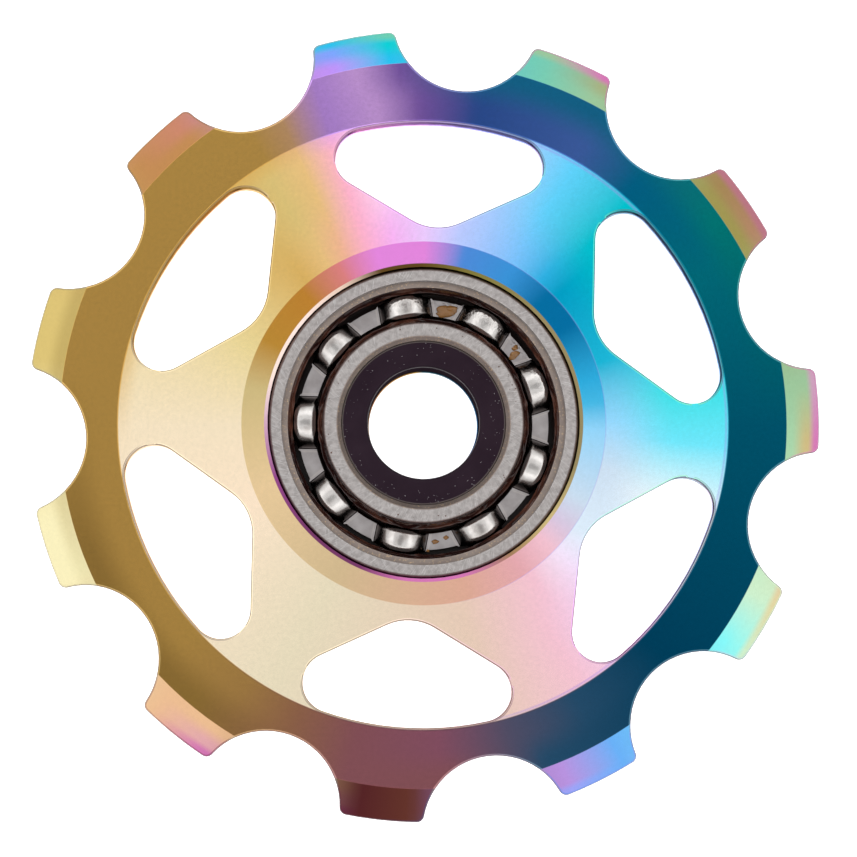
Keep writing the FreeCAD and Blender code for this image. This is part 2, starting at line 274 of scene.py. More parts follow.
# shades of the teeth's bevels from the first tooth on, each with its two flanks, at the foot, near the
# tip and along the tip's edge
bevels = {
    "foot": [
        ("pistachio", "sage"), ("olive", "olive"), ("sage", "jade"), ("moonstone", "amethyst"),
        ("mandarin", "mandarin"), ("brass", "brass"), ("primrose", "lemon"), ("apricot", "apricot"),
        ("madder", "cocoa"), ("heather", "skyBlue"), ("seafoam", "celery"),
    ],
    "tip": [
        ("khaki", "sage"), ("fawn", "hazel"), ("leaf", "jade"), ("lake", "bluebell"),
        ("sienna", "mandarin"), ("citron", "citron"), ("vanilla", "vanilla"), ("apricot", "salmon"),
        ("madder", "cocoa"), ("heather", "skyBlue"), ("mint", "celery"),
    ],
    "edge": [
        ("pinkLine", "thistle"), ("rosewood", "rosewood"), ("pinkLine", "sage"), ("kelp", "moonstone"),
        ("sienna", "tan"), ("citron", "citron"), ("vanilla", "vanilla"), ("apricot", "pinkLine"),
        ("madder", "cocoa"), ("hyacinth", "skyBlue"), ("celery", "primrose"),
    ],
}
coating = {
    "gain": {"rim": 1.9, "rimEdge": 1.9, "bevel": 0.66},
    "roughness": 0.17,
    "wander": 0.012,
    "flankShare": 0.13,
    # radii between which one run of shades gives way to the next
    "rimToEdge": (17.6, 19.6),
    "webAcross": (10.0, 14.0),
    "footToTip": (20.2, 21.1),
    "tipToEdge": (21.15, 21.6),
    "teeth": (17.0, 17.4),
    "toothTops": (20.0, 20.5),
    "outerWalls": (15.3, 16.1),
    # on the upper left, between two turns, the web darkens softly towards the rim: painted shade in the
    # crease
    "creaseShadeTurns": (0.29, 0.49, 0.03),
    "creaseShadeRadii": (15.7, 16.8),
    # below, the foot of the rim has a dark line of painted shade
    "rimFootShadeTurns": (0.62, 0.86, 0.04),
    "rimFootShade": (84, 62, 60),
    "violetHighlight": (150, 128, 226),
    # broken edges and walls: a painted highlight beside each face and painted shade at each corner
    "edgeHighlightBand": (0.12, 0.52, 0.1),
    "cornerShadeBand": (0.58, 0.93, 0.06),
    "wallBand": (0.93, 0.99),
    "paleEdgeHighlight": (190, 230, 200),
    "outerEdge": (90, 60, 84),
    # painted shade at the corner of each broken edge
    "corner": (56, 34, 50),
    "millLines": ((112, 84, 88), (160, 134, 154)),
    "outerTones": ((214, 202, 226), (84, 56, 60)),
    # painted shade at the foot of the windows' walls
    "wallFootShade": (60, 40, 48),
    "grainScale": 5200.0,
}


def roundRamp(tree, turn, stops, gain=1.0):
    # stops are {degrees round the axle: shade}; the ramp closes on itself
    ordered = sorted((degrees % 360, toLinear(shades[shade])) for degrees, shade in stops.items())
    (firstTurn, firstColour), (lastTurn, lastColour) = ordered[0], ordered[-1]
    share = (360 - lastTurn) / (firstTurn + 360 - lastTurn)
    seam = tuple(last + (first - last) * share for first, last in zip(firstColour, lastColour))
    listed = [(0.0, seam)] + [(degrees / 360, colour) for degrees, colour in ordered] + [(1.0, seam)]
    gained = [(place, tuple(min(1.0, c * gain) for c in colour[:3]) + (1.0,)) for place, colour in listed]
    return ramp(tree, turn, gained)


def toothRamp(tree, turn, names):
    pitch = 360 / wheel["toothCount"]
    flank = coating["flankShare"] * pitch
    stops = {}
    for number, (first, last) in enumerate(names):
        middle = wheel["firstTooth"] + number * pitch
        stops[middle - flank], stops[middle + flank] = first, last
    return roundRamp(tree, turn, stops, coating["gain"]["bevel"])


def blastedGrain(tree, place, colour, dark, light):
    # fine grain of the blasted aluminium under the film
    grain = noise(tree, place, coating["grainScale"], 3.0, 0.7)
    tint = mix(tree, grain, (dark, dark, dark, 1.0), (light, light, light, 1.0))
    return grain, mix(tree, 1.0, colour, tint, "MULTIPLY")


def edgesAndWalls(tree, colour, place, radius, height, turn, across):
    # a painted highlight as a pale line beside each face, painted shade as a dark line at the corner, and
    # paler walls
    shade = addNode(tree, "ShaderNodeAttribute", {}, "Fac", attribute_name="edgeShade")
    onTeeth = rise(tree, radius, *coating["teeth"])
    paler = mix(tree, 0.22, colour, coating["paleEdgeHighlight"])
    toothEdge = roundRamp(tree, turn, film["toothEdge"])
    toothEdge = mix(tree, rise(tree, radius, *coating["toothTops"]), paler, toothEdge)
    outerWall = mathNode(tree, "SUBTRACT", rise(tree, radius, *coating["outerWalls"]), onTeeth, clamp=True)
    windowEdge = roundRamp(tree, turn, film["windowEdge"])
    windowEdge = mix(tree, times(tree, outerWall, 0.8), windowEdge, coating["outerEdge"])
    edgeTint = mix(tree, onTeeth, windowEdge, toothEdge)
    # painted highlight along each broken edge beside the face
    pale = between(tree, shade, *coating["edgeHighlightBand"])
    colour = mix(tree, times(tree, pale, 0.6), colour, edgeTint)
    # painted shade along the corner between broken edge and wall
    dark = between(tree, shade, *coating["cornerShadeBand"])
    colour = mix(tree, times(tree, dark, scaled(tree, onTeeth, 0.25, 0.6)), colour, coating["corner"])
    # the cutter left shallow lines along the walls, brown and lilac under the film
    stretched = addNode(
        tree, "ShaderNodeVectorMath", {0: place, 1: (0.08, 0.08, 1.0)}, operation="MULTIPLY",
    )
    millLines = rise(tree, noise(tree, stretched, 7000.0, 2.0, 0.6), 0.36, 0.64)
    wallColour = mix(tree, millLines, *coating["millLines"])
    # the windows' outer walls show brown above and lilac below, parted by a wavering line
    waver = scaled(tree, noise(tree, place, 1300.0, 2.0, 0.5), 1.6, -0.8)
    upper = rise(tree, mathNode(tree, "ADD", height, waver), 3.3, 4.0)
    outerTone = mix(tree, upper, *coating["outerTones"])
    wallColour = mix(tree, times(tree, outerWall, 0.85), wallColour, outerTone)
    # painted shade at the foot of the windows' walls
    windowFootShade = times(tree, rest(tree, rise(tree, height, 2.62, 2.78)), rest(tree, onTeeth))
    wallColour = mix(tree, times(tree, windowFootShade, 0.8), wallColour, coating["wallFootShade"])
    # the walls take more of their darker colour on the right than on the left: painted shade by side
    share = scaled(tree, rise(tree, across, -7.0, 7.0), 0.45, 0.3)
    wall = rise(tree, shade, *coating["wallBand"])
    return mix(tree, times(tree, wall, share), colour, wallColour)


def coatedMetal(name):
    material, tree = newMaterial(name)
    place, radius, height, turn = polarCoordinates(tree)
    across = times(tree, split(tree, place)[0], 1 / mm)
    # the film's bands wander a little round the wheel
    wander = scaled(tree, noise(tree, place, 60.0, 2.0, 0.4), coating["wander"], -coating["wander"] / 2)
    turn = mathNode(tree, "FRACT", mathNode(tree, "ADD", turn, wander))
    face = {}
    for key in ("rim", "rimEdge", "webOuter", "webInner", "hubRing", "mouth"):
        face[key] = roundRamp(tree, turn, film[key], coating["gain"].get(key, 1.0))
    teeth = {key: toothRamp(tree, turn, names) for key, names in bevels.items()}
    rim = mix(tree, rise(tree, radius, *coating["rimToEdge"]), face["rim"], face["rimEdge"])
    web = mix(tree, rise(tree, radius, *coating["webAcross"]), face["webInner"], face["webOuter"])
    bevel = mix(tree, rise(tree, radius, *coating["footToTip"]), teeth["foot"], teeth["tip"])
    bevel = mix(tree, rise(tree, radius, *coating["tipToEdge"]), bevel, teeth["edge"])
    mouthEdge, ringEdge, rimFoot = wheel["mouthRadius"], wheel["ringRadius"], wheel["rimRadius"]
    colour = mix(tree, stepAt(tree, radius, mouthEdge, 0.02), face["mouth"], face["hubRing"])
    colour = mix(tree, stepAt(tree, radius, ringEdge, 0.03), colour, web)
    # painted shade: on the upper left the web blends into the darker rim colour towards the crease
    creaseShade = times(tree, between(tree, turn, *coating["creaseShadeTurns"]), 0.5)
    colour = mix(tree, times(tree, rise(tree, radius, *coating["creaseShadeRadii"]), creaseShade), colour, rim)
    colour = mix(tree, rise(tree, radius, rimFoot - 0.1, rimFoot - 0.02), colour, rim)
    colour = mix(tree, stepAt(tree, radius, wheel["bevelRadius"], 0.03), colour, bevel)
    # painted shade: a dark line in the crease at the foot of the rim, on the lower side
    low = times(tree, between(tree, radius, rimFoot - 0.05, rimFoot + 0.01, 0.02), 0.55)
    low = times(tree, low, between(tree, turn, *coating["rimFootShadeTurns"]))
    colour = mix(tree, low, colour, coating["rimFootShade"])
    # on the right a violet line of painted highlight runs round the hub ring and at the foot of the rim
    lines = mathNode(
        tree, "MAXIMUM",
        between(tree, radius, ringEdge - 0.01, ringEdge + 0.03, 0.03),
        between(tree, radius, rimFoot - 0.22, rimFoot - 0.1, 0.05),
    )
    right = times(tree, lines, times(tree, rise(tree, across, 0.0, 7.0), 0.35))
    colour = mix(tree, right, colour, coating["violetHighlight"])
    colour = edgesAndWalls(tree, colour, place, radius, height, turn, across)
    grain, colour = blastedGrain(tree, place, colour, 0.9, 1.06)
    rough = scaled(tree, grain, 0.08, coating["roughness"] - 0.04)
    return dress(material, colour, rough, (grain, 0.000006, 0.15), Metallic=1.0)


def coatedCap(name):
    # the same film on the rear cap; its bore is painted near white below a coloured upper edge, a painted
    # reflection of the floor
    material, tree = newMaterial(name)
    place, radius, height, turn = polarCoordinates(tree)
    colour = roundRamp(tree, turn, film["cap"])
    bore = wheel["boreRadius"]
    # painted reflection: the bore's lower wall is painted near white like the floor it would mirror
    boreReflection = rest(tree, rise(tree, radius, bore + 0.01, bore + 0.06))
    deep = rest(tree, rise(tree, height, 1.7, 1.9))
    colour = mix(tree, times(tree, boreReflection, deep), colour, (252, 250, 250))
    grain, colour = blastedGrain(tree, place, colour, 0.88, 1.08)
    rough = scaled(tree, grain, 0.1, 0.2)
    return dress(material, colour, rough, (grain, 0.000006, 0.2), Metallic=1.0)


# The bearing's steels, its oil and the black of the bush

bearing = {
    "face": ((166, 160, 158), (194, 188, 186)),
    "stroke": (238, 236, 235),
    # strokes a turn, strokes a millimetre and slant of the two runs of grinding lines
    "strokes": ((900.0, 1.4, 0.012), (620.0, 1.1, -0.02)),
    "land": ((130, 117, 111), (176, 162, 154)),
    "grit": (236, 204, 160),
    # painted shade for the rings' rounded outer corners
    "ringCornerShade": (74, 52, 46),
    "oil": ((46, 28, 26), (98, 66, 56)),
    "oilTop": (5.55, 5.66),
}


def grindingLines(tree, radius, height, turn, around, along, slant):
    swept = scaled(tree, radius, slant, turn)
    grid = combine(tree, times(tree, swept, around), times(tree, radius, along), height)
    return noise(tree, grid, 1.0, 3.0, 0.65)


def groundSteel(name, landLow, landHigh, edgeRadius):
    # ground faces above, a plain band between the two radii, and oil on everything below; past
    # edgeRadius the ring's rounded outer corner is painted dark as shade
    material, tree = newMaterial(name)
    place, radius, height, turn = polarCoordinates(tree)
    strokes, crossed = [grindingLines(tree, radius, height, turn, *run) for run in bearing["strokes"]]
    lines = mathNode(tree, "MAXIMUM", rise(tree, strokes, 0.5, 0.72), rise(tree, crossed, 0.56, 0.76))
    cloud = noise(tree, place, 900.0, 3.0, 0.6)
    rub = noise(tree, place, 3400.0, 3.0, 0.6)
    face = mix(tree, rise(tree, rub, 0.3, 0.7), *bearing["face"])
    face = mix(tree, times(tree, lines, 0.6), face, bearing["stroke"])
    grit = rise(tree, noise(tree, place, 9000.0, 2.0, 0.6), 0.56, 0.72)
    land = mix(tree, times(tree, grit, 0.6), mix(tree, cloud, *bearing["land"]), bearing["grit"])
    colour = mix(tree, between(tree, radius, landLow, landHigh, 0.02), face, land)
    # painted shade on the ring's rounded outer corner
    corner = rise(tree, radius, edgeRadius, edgeRadius + 0.07)
    colour = mix(tree, times(tree, corner, 0.85), colour, bearing["ringCornerShade"])
    lower = rest(tree, rise(tree, height, *bearing["oilTop"]))
    colour = mix(tree, lower, colour, mix(tree, cloud, *bearing["oil"]))
    rough = scaled(tree, lines, -0.08, scaled(tree, lower, -0.22, 0.36))
    return dress(material, colour, rough, (strokes, 0.000004, 0.35), Metallic=1.0)


pressing = {
    "steel": ((170, 165, 162), (232, 229, 226)),
    "flat": ((148, 140, 140), (204, 200, 200)),
    "smudge": (104, 76, 62),
    # foot: painted shade with the brown of oil, where the dome runs down
    "foot": (44, 28, 24),
    # bend: a painted highlight
    "bend": (236, 226, 216),
    # rolled: painted shade for the cage below the middle plane
    "rolled": (60, 36, 30),
    "rough": 0.22,
    # distances from a ball's middle, round the wheel, at which the dome darkens with painted shade, the
    # flat starts and the bend takes a painted highlight
    "footReach": (0.78, 1.36),
    "flatReach": (1.44, 1.5),
    "bendReach": (1.55, 1.63, 0.03),
    "wetTurns": (0.05, 0.3, 0.06),
}


def pressedSteel(name):
    # bright crowns that run into feet dark with oil and painted shade, a bend with a painted highlight, and
    # duller flats between
    material, tree = newMaterial(name)
    place, radius, height, turn = polarCoordinates(tree)
    pitch = 360 / balls["count"]
    pitches = scaled(tree, turn, balls["count"], 0.5 - balls["first"] / pitch + balls["count"])
    fromBall = mathNode(tree, "SUBTRACT", mathNode(tree, "FRACT", pitches), 0.5)
    angle = times(tree, fromBall, radians(pitch))
    reach = mathNode(tree, "ABSOLUTE", times(tree, radius, mathNode(tree, "SINE", angle)))
    cloud = noise(tree, place, 1500.0, 3.0, 0.55)
    smudge = rise(tree, noise(tree, place, 700.0, 3.0, 0.6), 0.5, 0.7)
    steel = mix(tree, times(tree, smudge, 0.3), mix(tree, cloud, *pressing["steel"]), pressing["smudge"])
    # painted shade, with a brown oil tint, where the dome runs down to its feet
    foot = rise(tree, reach, *pressing["footReach"])
    steel = mix(tree, times(tree, foot, 0.9), steel, pressing["foot"])
    onFlat = rise(tree, reach, *pressing["flatReach"])
    colour = mix(tree, onFlat, steel, mix(tree, cloud, *pressing["flat"]))
    # painted highlight along the bend between dome and flat
    bend = between(tree, reach, *pressing["bendReach"])
    colour = mix(tree, times(tree, bend, 0.2), colour, pressing["bend"])
    # painted shade, brown, on the cage below the middle plane
    rolled = times(tree, rest(tree, rise(tree, height, 3.55, 3.68)), 0.8)
    colour = mix(tree, rolled, colour, pressing["rolled"])
    rough = scaled(tree, onFlat, 0.16, pressing["rough"])
    # oil beads ripple the shine, most on the upper right
    wet = times(tree, between(tree, turn, *pressing["wetTurns"]), rise(tree, radius, 6.2, 6.7))
    ripple = times(tree, noise(tree, place, 3200.0, 2.0, 0.55), scaled(tree, wet, 2.6, 0.25))
    return dress(material, colour, rough, (ripple, 0.00003, 0.85), Metallic=1.0)


def polishedSteel(name, low, high, roughness, oilShare):
    # bright steel with thin brown oil lying on it in patches
    material, tree = newMaterial(name)
    place = objectPlace(tree)
    colour = mix(tree, noise(tree, place, 1100.0, 3.0, 0.55), low, high)
    patch = rise(tree, noise(tree, place, 520.0, 3.0, 0.6), 0.52, 0.66)
    colour = mix(tree, times(tree, patch, oilShare), colour, (92, 58, 44))
    rub = noise(tree, place, 2600.0, 3.0, 0.7)
    rough = scaled(tree, rub, 0.1, roughness - 0.05)
    return dress(material, colour, rough, (rub, 0.000004, 0.3), Metallic=1.0)


def darkPlastic(name, dark, light, roughness, gloss):
    material, tree = newMaterial(name)
    place = objectPlace(tree)
    colour = mix(tree, noise(tree, place, 420.0, 4.0, 0.6), dark, light)
    relief = noise(tree, place, 3000.0, 3.0, 0.6), 0.000004, 0.25
    return dress(material, colour, roughness, relief, Specular_IOR_Level=gloss)


def blackBush(name):
    # near-black face with a faint violet cast, and a grey band of painted highlight on its rounded outer
    # edge
    material, tree = newMaterial(name)
    place, radius, height, turn = polarCoordinates(tree)
    colour = mix(tree, noise(tree, place, 420.0, 4.0, 0.6), (28, 17, 26), (48, 36, 45))
    # painted highlight on the rounded outer edge
    colour = mix(tree, times(tree, rise(tree, radius, 4.38, 4.42), 0.6), colour, (110, 102, 98))
    relief = noise(tree, place, 3000.0, 3.0, 0.6), 0.000004, 0.25
    tint = (0.16, 0.14, 0.16, 1.0)
    return dress(material, colour, 0.35, relief, Specular_IOR_Level=0.3, Specular_Tint=tint)


def darkOil(name):
    material, tree = newMaterial(name)
    place = objectPlace(tree)
    thin = rise(tree, noise(tree, place, 520.0, 3.0, 0.6), 0.42, 0.68)
    colour = mix(tree, thin, (40, 20, 18), (92, 56, 44))
    relief = noise(tree, place, 2600.0, 2.0, 0.5), 0.00005, 0.35
    return dress(material, colour, 0.07, relief, Specular_IOR_Level=0.45)


def liquid(name, levels, clear):
    material, tree = newMaterial(name)
    cloud = noise(tree, objectPlace(tree), 2400.0, 2.0, 0.5)
    deep = tuple(part * 0.6 for part in toLinear(levels)[:3]) + (1.0,)
    colour = mix(tree, cloud, deep, levels)
    return dress(material, colour, 0.05, (cloud, 0.00004, 0.5), Transmission_Weight=clear, IOR=1.47)


rainbow = coatedMetal("rainbowCoating")
capCoat = coatedCap("coatedCap")
outerSteel = groundSteel("groundOuterRing", 7.2, 7.75, 8.28)
innerSteel = groundSteel("groundInnerRing", 4.0, 4.76, 5.36)
cageSteel = pressedSteel("pressedCageSteel")
ballSteel = polishedSteel("oiledBallSteel", (120, 96, 84), (170, 150, 138), 0.1, 0.6)
bushBlack = blackBush("bushBlack")
sealRubber = darkPlastic("oiledSealRubber", (48, 32, 30), (86, 60, 54), 0.2, 0.4)
oil = liquid("brownOil", (120, 74, 50), 0.6)
filmOil = darkOil("darkOilFilm")
greaseSkin = liquid("amberGrease", (214, 156, 96), 0.25)
dust = darkPlastic("paleDust", (200, 196, 200), (250, 248, 250), 0.8, 0.2)
print("materials made")


# The pieces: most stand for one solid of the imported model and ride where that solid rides

carrier = {}
for body, members in frame["record"]["behaviour"]["bodies"].items():
    for member in members:
        carrier[member] = body


def addPiece(name, mesh, material, node=None, body=None):
    piece = bpy.data.objects.new(name, mesh)
    bpy.context.scene.collection.objects.link(piece)
    mesh.materials.clear()
    mesh.materials.append(material)
    if node:
        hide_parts(node)
    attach(piece, body or carrier[node])
    return piece


def newMesh(name, vertices, faces):
    mesh = bpy.data.meshes.new(name)
    mesh.from_pydata(vertices, [], faces)
    return mesh


# The wheel's turned faces as bands of radius, each with the lean of its surface away from the axle
front = {
    "mouth": (8.50, 8.70, -45.0),
    "hubRing": (8.68, 9.96, 28.98),
    "web": (9.94, 16.405, 10.73),
    "step": (16.665, 16.805, -46.17),
    "bevel": (19.94, 22.0, 17.0),
}
# the lean that the light sees, where the coating softens a narrow face
shown = {"mouth": -32.0, "hubRing": 35.0, "step": 10.73}
webFillet = {"low": 16.395, "high": 16.685, "radius": 16.455, "height": 1.175, "rounding": 0.3}
rearRing = {"low": 8.87, "high": 10.6, "lean": 45.0, "height": -1.7}
# radii and heights of the solid's edges that the visual wheel moves, its rim's half thickness, and the
# radius inside which no broken edge takes colour
solidWheel = {
    "seat": 8.51, "mouth": 8.88, "crease": 9.85, "front": 2.8, "rimHalf": 1.1,
    "inside": 8.87, "slack": 0.01,
}
# radii between which the windows' walls lie, and their tilt above and below the middle plane
windowWalls = {"low": 9.9, "high": 17.2, "upperTilt": 46, "lowerTilt": 24}
# in metres
mergeDistance = 0.000002


def leaningNormal(place, lean, side):
    around = atan2(place.y, place.x)
    tilt = radians(lean)
    return Vector((sin(tilt) * cos(around), sin(tilt) * sin(around), side * cos(tilt)))


def radiusAndHeight(place):
    return hypot(place.x, place.y) / mm, place.z / mm - wheel["midHeight"]


def turnedFace(face):
    # lean, side and kind of the turned surface that a face belongs to; the lean is None off such a surface
    middle = face.calc_center_median()
    radius, height = radiusAndHeight(middle)
    normal = face.normal
    side = 1 if normal.z > 0 else -1
    outwards = (normal.x * middle.x + normal.y * middle.y) / hypot(middle.x, middle.y)
    lean = toDegrees(atan2(outwards, abs(normal.z)))
    onRim = abs(abs(height) - solidWheel["rimHalf"]) < solidWheel["slack"]
    if abs(normal.z) > 0.9995 and (radius < solidWheel["mouth"] or onRim):
        return 0.0, side, None
    if webFillet["low"] < radius < webFillet["high"] and 0.84 < abs(height) < 1.0:
        fromCentre = hypot(webFillet["radius"] - radius, webFillet["height"] - abs(height))
        if abs(fromCentre - webFillet["rounding"]) < 0.02:
            return None, side, "fillet"
    for name, (low, high, given) in front.items():
        if side < 0 and name in ("mouth", "hubRing"):
            continue
        if low < radius < high and abs(lean - given) < 5:
            return shown.get(name, given), side, None
    onRearRing = rearRing["low"] < radius < rearRing["high"] and height < rearRing["height"]
    if side < 0 and onRearRing and abs(lean - rearRing["lean"]) < 4:
        return rearRing["lean"], side, None
    return None, side, None


def moveEdges(shape):
    # the mouth's chamfer is narrower than the solid's: its outer edge moves in and its foot up; the
    # crease round the hub's steeper ring moves out
    slack, top = solidWheel["slack"], solidWheel["front"]
    footHeight = top - (solidWheel["mouth"] - solidWheel["seat"])
    webSlope = tan(radians(front["web"][2]))
    for vertex in shape.verts:
        radius, height = radiusAndHeight(vertex.co)
        newRadius = radius
        if height > top - slack and abs(radius - solidWheel["mouth"]) < slack:
            newRadius = wheel["mouthRadius"]
        elif abs(height - footHeight) < 3 * slack and radius < solidWheel["seat"] + slack:
            vertex.co.z = (wheel["midHeight"] + top - (wheel["mouthRadius"] - solidWheel["seat"])) * mm
        elif 2.0 < height < 2.2 and abs(radius - solidWheel["crease"]) < slack:
            newRadius = wheel["ringRadius"]
            vertex.co.z -= (newRadius - radius) * webSlope * mm
        vertex.co.x *= newRadius / radius
        vertex.co.y *= newRadius / radius


def smoothWheel(mesh):
    shape = bmesh.new()
    shape.from_mesh(mesh)
    bmesh.ops.remove_doubles(shape, verts=shape.verts, dist=mergeDistance)
    moveEdges(shape)
    shape.normal_update()
    shape.verts.ensure_lookup_table()
    turned, walls, atFace, atWall = {}, set(), {}, {}
    for face in shape.faces:
        face.smooth = True
        face.material_index = 0
        lean, side, kind = turnedFace(face)
        if lean is not None or kind:
            turned[face.index] = front["web"][2] if kind else lean
            for vertex in face.verts:
                normal = leaningNormal(vertex.co, turned[face.index], side)
                atFace.setdefault(vertex.index, {})[face.index] = normal
        elif abs(face.normal.z) < 0.25:
            walls.add(face.index)
            for vertex in face.verts:
                weight = face.normal * face.calc_area()
                atWall[vertex.index] = atWall.get(vertex.index, Vector((0, 0, 0))) + weight
    # the windows' walls are shaded as leaning towards the front, so that they catch the tent's light
    for index, weight in atWall.items():
        radius, height = radiusAndHeight(shape.verts[index].co)
        if windowWalls["low"] < radius < windowWalls["high"]:
            tilt = radians(windowWalls["upperTilt"] if height > 0 else windowWalls["lowerTilt"])
            flat = weight.normalized() * cos(tilt)
            atWall[index] = Vector((flat.x, flat.y, sin(tilt)))
    # edgeShade runs from 0 on the faces across the broken edges to 1 on the walls
    shadeAt = {}
    for index in atWall:
        if radiusAndHeight(shape.verts[index].co)[0] >= solidWheel["inside"]:
            shadeAt[index] = 0.0 if index in atFace else 1.0
    normals, edgeShade = [], []
    for face in shape.faces:
        for vertex in face.verts:
            beside = atFace.get(vertex.index, {})
            if face.index in turned:
                edgeShade.append(0.0)
                normals.append(beside[face.index])
                continue
            onWall = face.index in walls
            edgeShade.append(float(vertex.index in shadeAt) if onWall else shadeAt.get(vertex.index, 0.0))
            if onWall or not beside:
                normals.append(atWall.get(vertex.index, face.normal).normalized())
            else:
                normals.append(max(beside.values(), key=lambda normal: normal.dot(face.normal)))
    shape.to_mesh(mesh)
    shape.free()
    mesh.normals_split_custom_set(normals)
    layer = mesh.attributes.new("edgeShade", "FLOAT", "CORNER")
    layer.data.foreach_set("value", edgeShade)
    return len(turned), len(walls), len(normals)


wheelMesh = frame["nodes"]["pulley_body"].data.copy()
wheelMesh.name = "coatedWheel"
print("wheel faces:", smoothWheel(wheelMesh))
addPiece("coatedWheel", wheelMesh, rainbow, node="pulley_body")


# Turned parts of the bearing, as half-sections spun round the axle

def ringPoint(radius, around, height):
    return radius * mm * cos(around), radius * mm * sin(around), height * mm


def ringCorners(steps, rows):
    # the four corners, as (step, row), of each face of a surface that closes both ways
    for step in range(steps):
        for row in range(rows):
            ahead, above = (step + 1) % steps, (row + 1) % rows
            yield (step, row), (ahead, row), (ahead, above), (step, above)


def sectionPoints(corners):
    # corners run anticlockwise round the half-section: (radius, height, rounding), or
    # (radius, height, None, lean) for a point of a curved run, with the direction of its normal
    points = []
    for index, corner in enumerate(corners):
        here = Vector(corner[:2])
        if corner[2] is None:
            normal = Vector((cos(corner[3]), sin(corner[3])))
            points.append((here, normal, normal))
            continue
        arriving = (here - Vector(corners[index - 1][:2])).normalized()
        leaving = (Vector(corners[(index + 1) % len(corners)][:2]) - here).normalized()
        before = Vector((arriving.y, -arriving.x))
        after = Vector((leaving.y, -leaving.x))
        if not corner[2]:
            points.append((here, before, after))
            continue
        bend = atan2(arriving.x * leaving.y - arriving.y * leaving.x, arriving.dot(leaving))
        start = here - arriving * corner[2] * tan(abs(bend) / 2)
        side = 1 if bend > 0 else -1
        middle = start - before * corner[2] * side
        for step in range(7):
            angle = bend * step / 6
            normal = Vector((
                before.x * cos(angle) - before.y * sin(angle),
                before.x * sin(angle) + before.y * cos(angle),
            ))
            points.append((middle + normal * corner[2] * side, normal, normal))
    return points


def turnedMesh(name, corners, base=0.0, steps=288):
    points = sectionPoints(corners)
    vertices, faces, normals = [], [], []
    for step in range(steps):
        around = 2 * pi * step / steps
        vertices += [ringPoint(place.x, around, place.y + base) for place, before, after in points]
    for found in ringCorners(steps, len(points)):
        faces.append([step * len(points) + row for step, row in found])
        for number, (step, row) in enumerate(found):
            normal = points[row][2] if number < 2 else points[row][1]
            around = 2 * pi * step / steps
            normals.append((normal.x * cos(around), normal.x * sin(around), normal.y))
    mesh = newMesh(name, vertices, faces)
    mesh.shade_smooth()
    mesh.normals_split_custom_set(normals)
    return mesh


def groovePoints(centreRadius, grooveRadius, halfHeight, outwards):
    # the ball track's section, from below to above on the inner ring and the other way on the outer
    reach = asin(halfHeight / grooveRadius)
    found = []
    for step in range(1, 16):
        angle = -reach + 2 * reach * step / 16
        angle = angle if outwards else -angle
        away = -1 if outwards else 1
        radius = centreRadius + away * grooveRadius * cos(angle)
        lean = atan2(-sin(angle), -away * cos(angle))
        found.append((radius, grooveRadius * sin(angle), None, lean))
    return found


outerRing = {"rim": 8.5, "shoulder": 7.42, "lip": 7.77, "groove": 7.92}
innerRing = {"bore": 4.5, "rim": 5.5, "chamfer": 4.72}
track = {
    "radius": 1.238, "outerCentre": 6.4625, "innerCentre": 6.5376, "innerHalf": 0.676, "outerHalf": 0.786,
}
bush = {"bore": 3.05, "outside": 4.49, "rear": 2.2, "front": 5.9, "lip": 0.24, "wallLeans": (125, 130)}

rim, shoulder, lip, groove = (outerRing[key] for key in ("rim", "shoulder", "lip", "groove"))
half = track["outerHalf"]
ringMesh = turnedMesh("outerRing", [
    (rim, -2.5, 0.2), (rim, 2.5, 0.2), (lip, 2.5, 0.03), (lip, 2.3, 0.02), (groove, 2.3, 0),
    (groove, 2.0, 0), (shoulder, 2.0, 0.04), (shoulder, half, 0),
    *groovePoints(track["outerCentre"], track["radius"], half, False),
    (shoulder, -half, 0), (shoulder, -2.0, 0.04), (groove, -2.0, 0), (groove, -2.3, 0),
    (lip, -2.3, 0.02), (lip, -2.5, 0.03),
], wheel["midHeight"])
addPiece("outerRing", ringMesh, outerSteel, node="bearing_outer_ring")

bore, rim, chamfer = (innerRing[key] for key in ("bore", "rim", "chamfer"))
half = track["innerHalf"]
ringMesh = turnedMesh("innerRing", [
    (bore, 2.28, 0.02), (bore, -2.28, 0.02), (chamfer, -2.5, 0.02), (rim, -2.5, 0.12), (rim, -half, 0),
    *groovePoints(track["innerCentre"], track["radius"], half, True),
    (rim, half, 0), (rim, 2.5, 0.12), (chamfer, 2.5, 0.02),
], wheel["midHeight"])
addPiece("innerRing", ringMesh, innerSteel, node="bearing_inner_ring")

# the wall of the bush's hole is shaded as leaning, or it would mirror the floor too brightly
bore, outside = bush["bore"], bush["outside"]
upperLean, lowerLean = (radians(lean) for lean in bush["wallLeans"])
bushMesh = turnedMesh("centreBush", [
    (bore, bush["rear"], 0), (outside, bush["rear"], 0), (outside, bush["front"], 0.08),
    (bore, bush["front"], bush["lip"]), (bore, 5.64, None, upperLean), (bore, 2.21, None, lowerLean),
])
addPiece("centreBush", bushMesh, bushBlack, node="centre_bush")

bore = wheel["boreRadius"]
capMesh = turnedMesh("rearCap", [
    (bore, 0.0, 0), (8.05, 0.0, 0.02), (8.2, 0.15, 0.02), (8.2, 0.6, 0.03), (5.2, 0.6, 0), (5.2, 1.2, 0.02),
    (4.49, 1.2, 0), (4.49, 2.2, 0), (bore, 2.2, 0.04),
])
addPiece("rearCap", capMesh, capCoat, node="rear_dust_cap")

